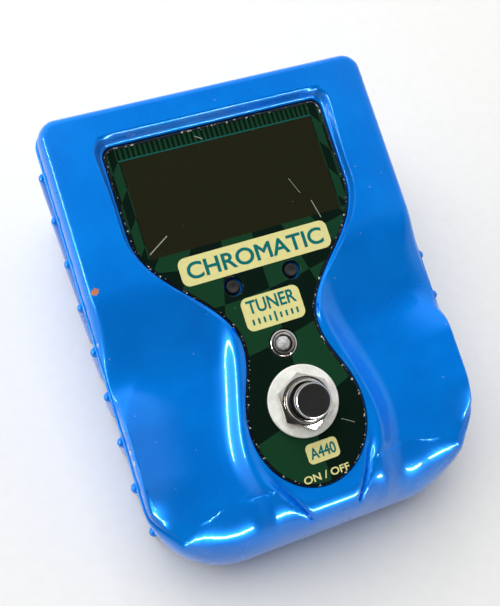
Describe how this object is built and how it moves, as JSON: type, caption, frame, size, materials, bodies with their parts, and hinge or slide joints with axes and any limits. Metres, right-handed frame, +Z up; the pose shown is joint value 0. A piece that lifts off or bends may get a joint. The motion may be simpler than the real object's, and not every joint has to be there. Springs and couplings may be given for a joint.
{
  "type": "floor tuner pedal",
  "caption": "Die-cast floor tuner pedal with a tilted display, menu buttons, status light, metal footswitch, side ribs, rear jacks and a battery door underneath.",
  "frame": {"origin": "on the floor under the middle of the pedal", "axes": "+X to the player's right, +Y towards the jacks at the rear, +Z up"},
  "size_m": [0.103, 0.135, 0.0551],
  "materials": {
    "blue_paint": "gloss blue paint on a die casting",
    "overlay_print": "clear gloss panel printed from behind in dark green",
    "chrome": "bright nickel plate",
    "steel": "plain steel",
    "lcd_glass": "dark display glass",
    "white_plastic": "matte white",
    "nylon": "milky nylon",
    "rubber": "matte black rubber",
    "circuit_board": "green solder mask",
    "black_plastic": "satin black",
    "clear_plastic": "clear moulded lens",
    "battery_jacket": "printed metal jacket"
  },
  "bodies": {
    "housing": {"top_casing": "blue_paint", "overlay_panel": "overlay_print", "footswitch_bush": "chrome", "footswitch_hex_nut": "chrome", "led_ring": "chrome", "input_jack_nut": "chrome", "output_jack_nut": "chrome", "lcd_frame": "steel", "footswitch_lower_nut": "steel", "footswitch_lug_1": "steel", "footswitch_lug_2": "steel", "footswitch_lug_3": "steel", "input_jack_washer": "steel", "output_jack_washer": "steel", "base_plate": "steel", "door_hinge_pin": "steel", "board_standoff_1": "steel", "board_standoff_2": "steel", "board_standoff_3": "steel", "board_standoff_4": "steel", "base_screw_1": "steel", "base_screw_2": "steel", "base_screw_3": "steel", "base_screw_4": "steel", "base_screw_5": "steel", "base_screw_6": "steel", "lcd_glass": "lcd_glass", "backlight": "white_plastic", "battery_bay": "white_plastic", "ribbon_cable": "white_plastic", "footswitch_washer": "nylon", "zebra_strip_upper": "rubber", "zebra_strip_lower": "rubber", "foot_1": "rubber", "foot_2": "rubber", "foot_3": "rubber", "foot_4": "rubber", "display_board": "circuit_board", "main_board": "circuit_board", "tact_switch_left": "black_plastic", "tact_switch_right": "black_plastic", "footswitch_body": "black_plastic", "input_jack_body": "black_plastic", "output_jack_body": "black_plastic", "dc_inlet_body": "black_plastic", "dc_inlet_nut": "black_plastic", "battery_snap": "black_plastic", "processor_chip": "black_plastic", "status_led": "clear_plastic", "battery": "battery_jacket"},
    "footswitch_plunger": {"footswitch_cap": "chrome"},
    "button_left": {"menu_button_left": "black_plastic"},
    "button_right": {"menu_button_right": "black_plastic"},
    "door": {"battery_door": "black_plastic", "battery_pad": "rubber"}
  },
  "joints": [
    {"name": "footswitch_press", "type": "slide", "parent": "housing", "child": "footswitch_plunger", "axis": [0, 0.1392, -0.9903], "range_m": [0, 0.003], "stiffness_N_per_m": 4000},
    {"name": "button_left_press", "type": "slide", "parent": "housing", "child": "button_left", "axis": [0, 0.1392, -0.9903], "range_m": [0, 0.0005], "stiffness_N_per_m": 3000},
    {"name": "button_right_press", "type": "slide", "parent": "housing", "child": "button_right", "axis": [0, 0.1392, -0.9903], "range_m": [0, 0.0005], "stiffness_N_per_m": 3000},
    {"name": "battery_door_hinge", "type": "hinge", "parent": "housing", "child": "door", "pos_m": [0.028, 0.00475, 0.0047], "axis": [1, 0, 0], "range_deg": [0, 85]}
  ]
}
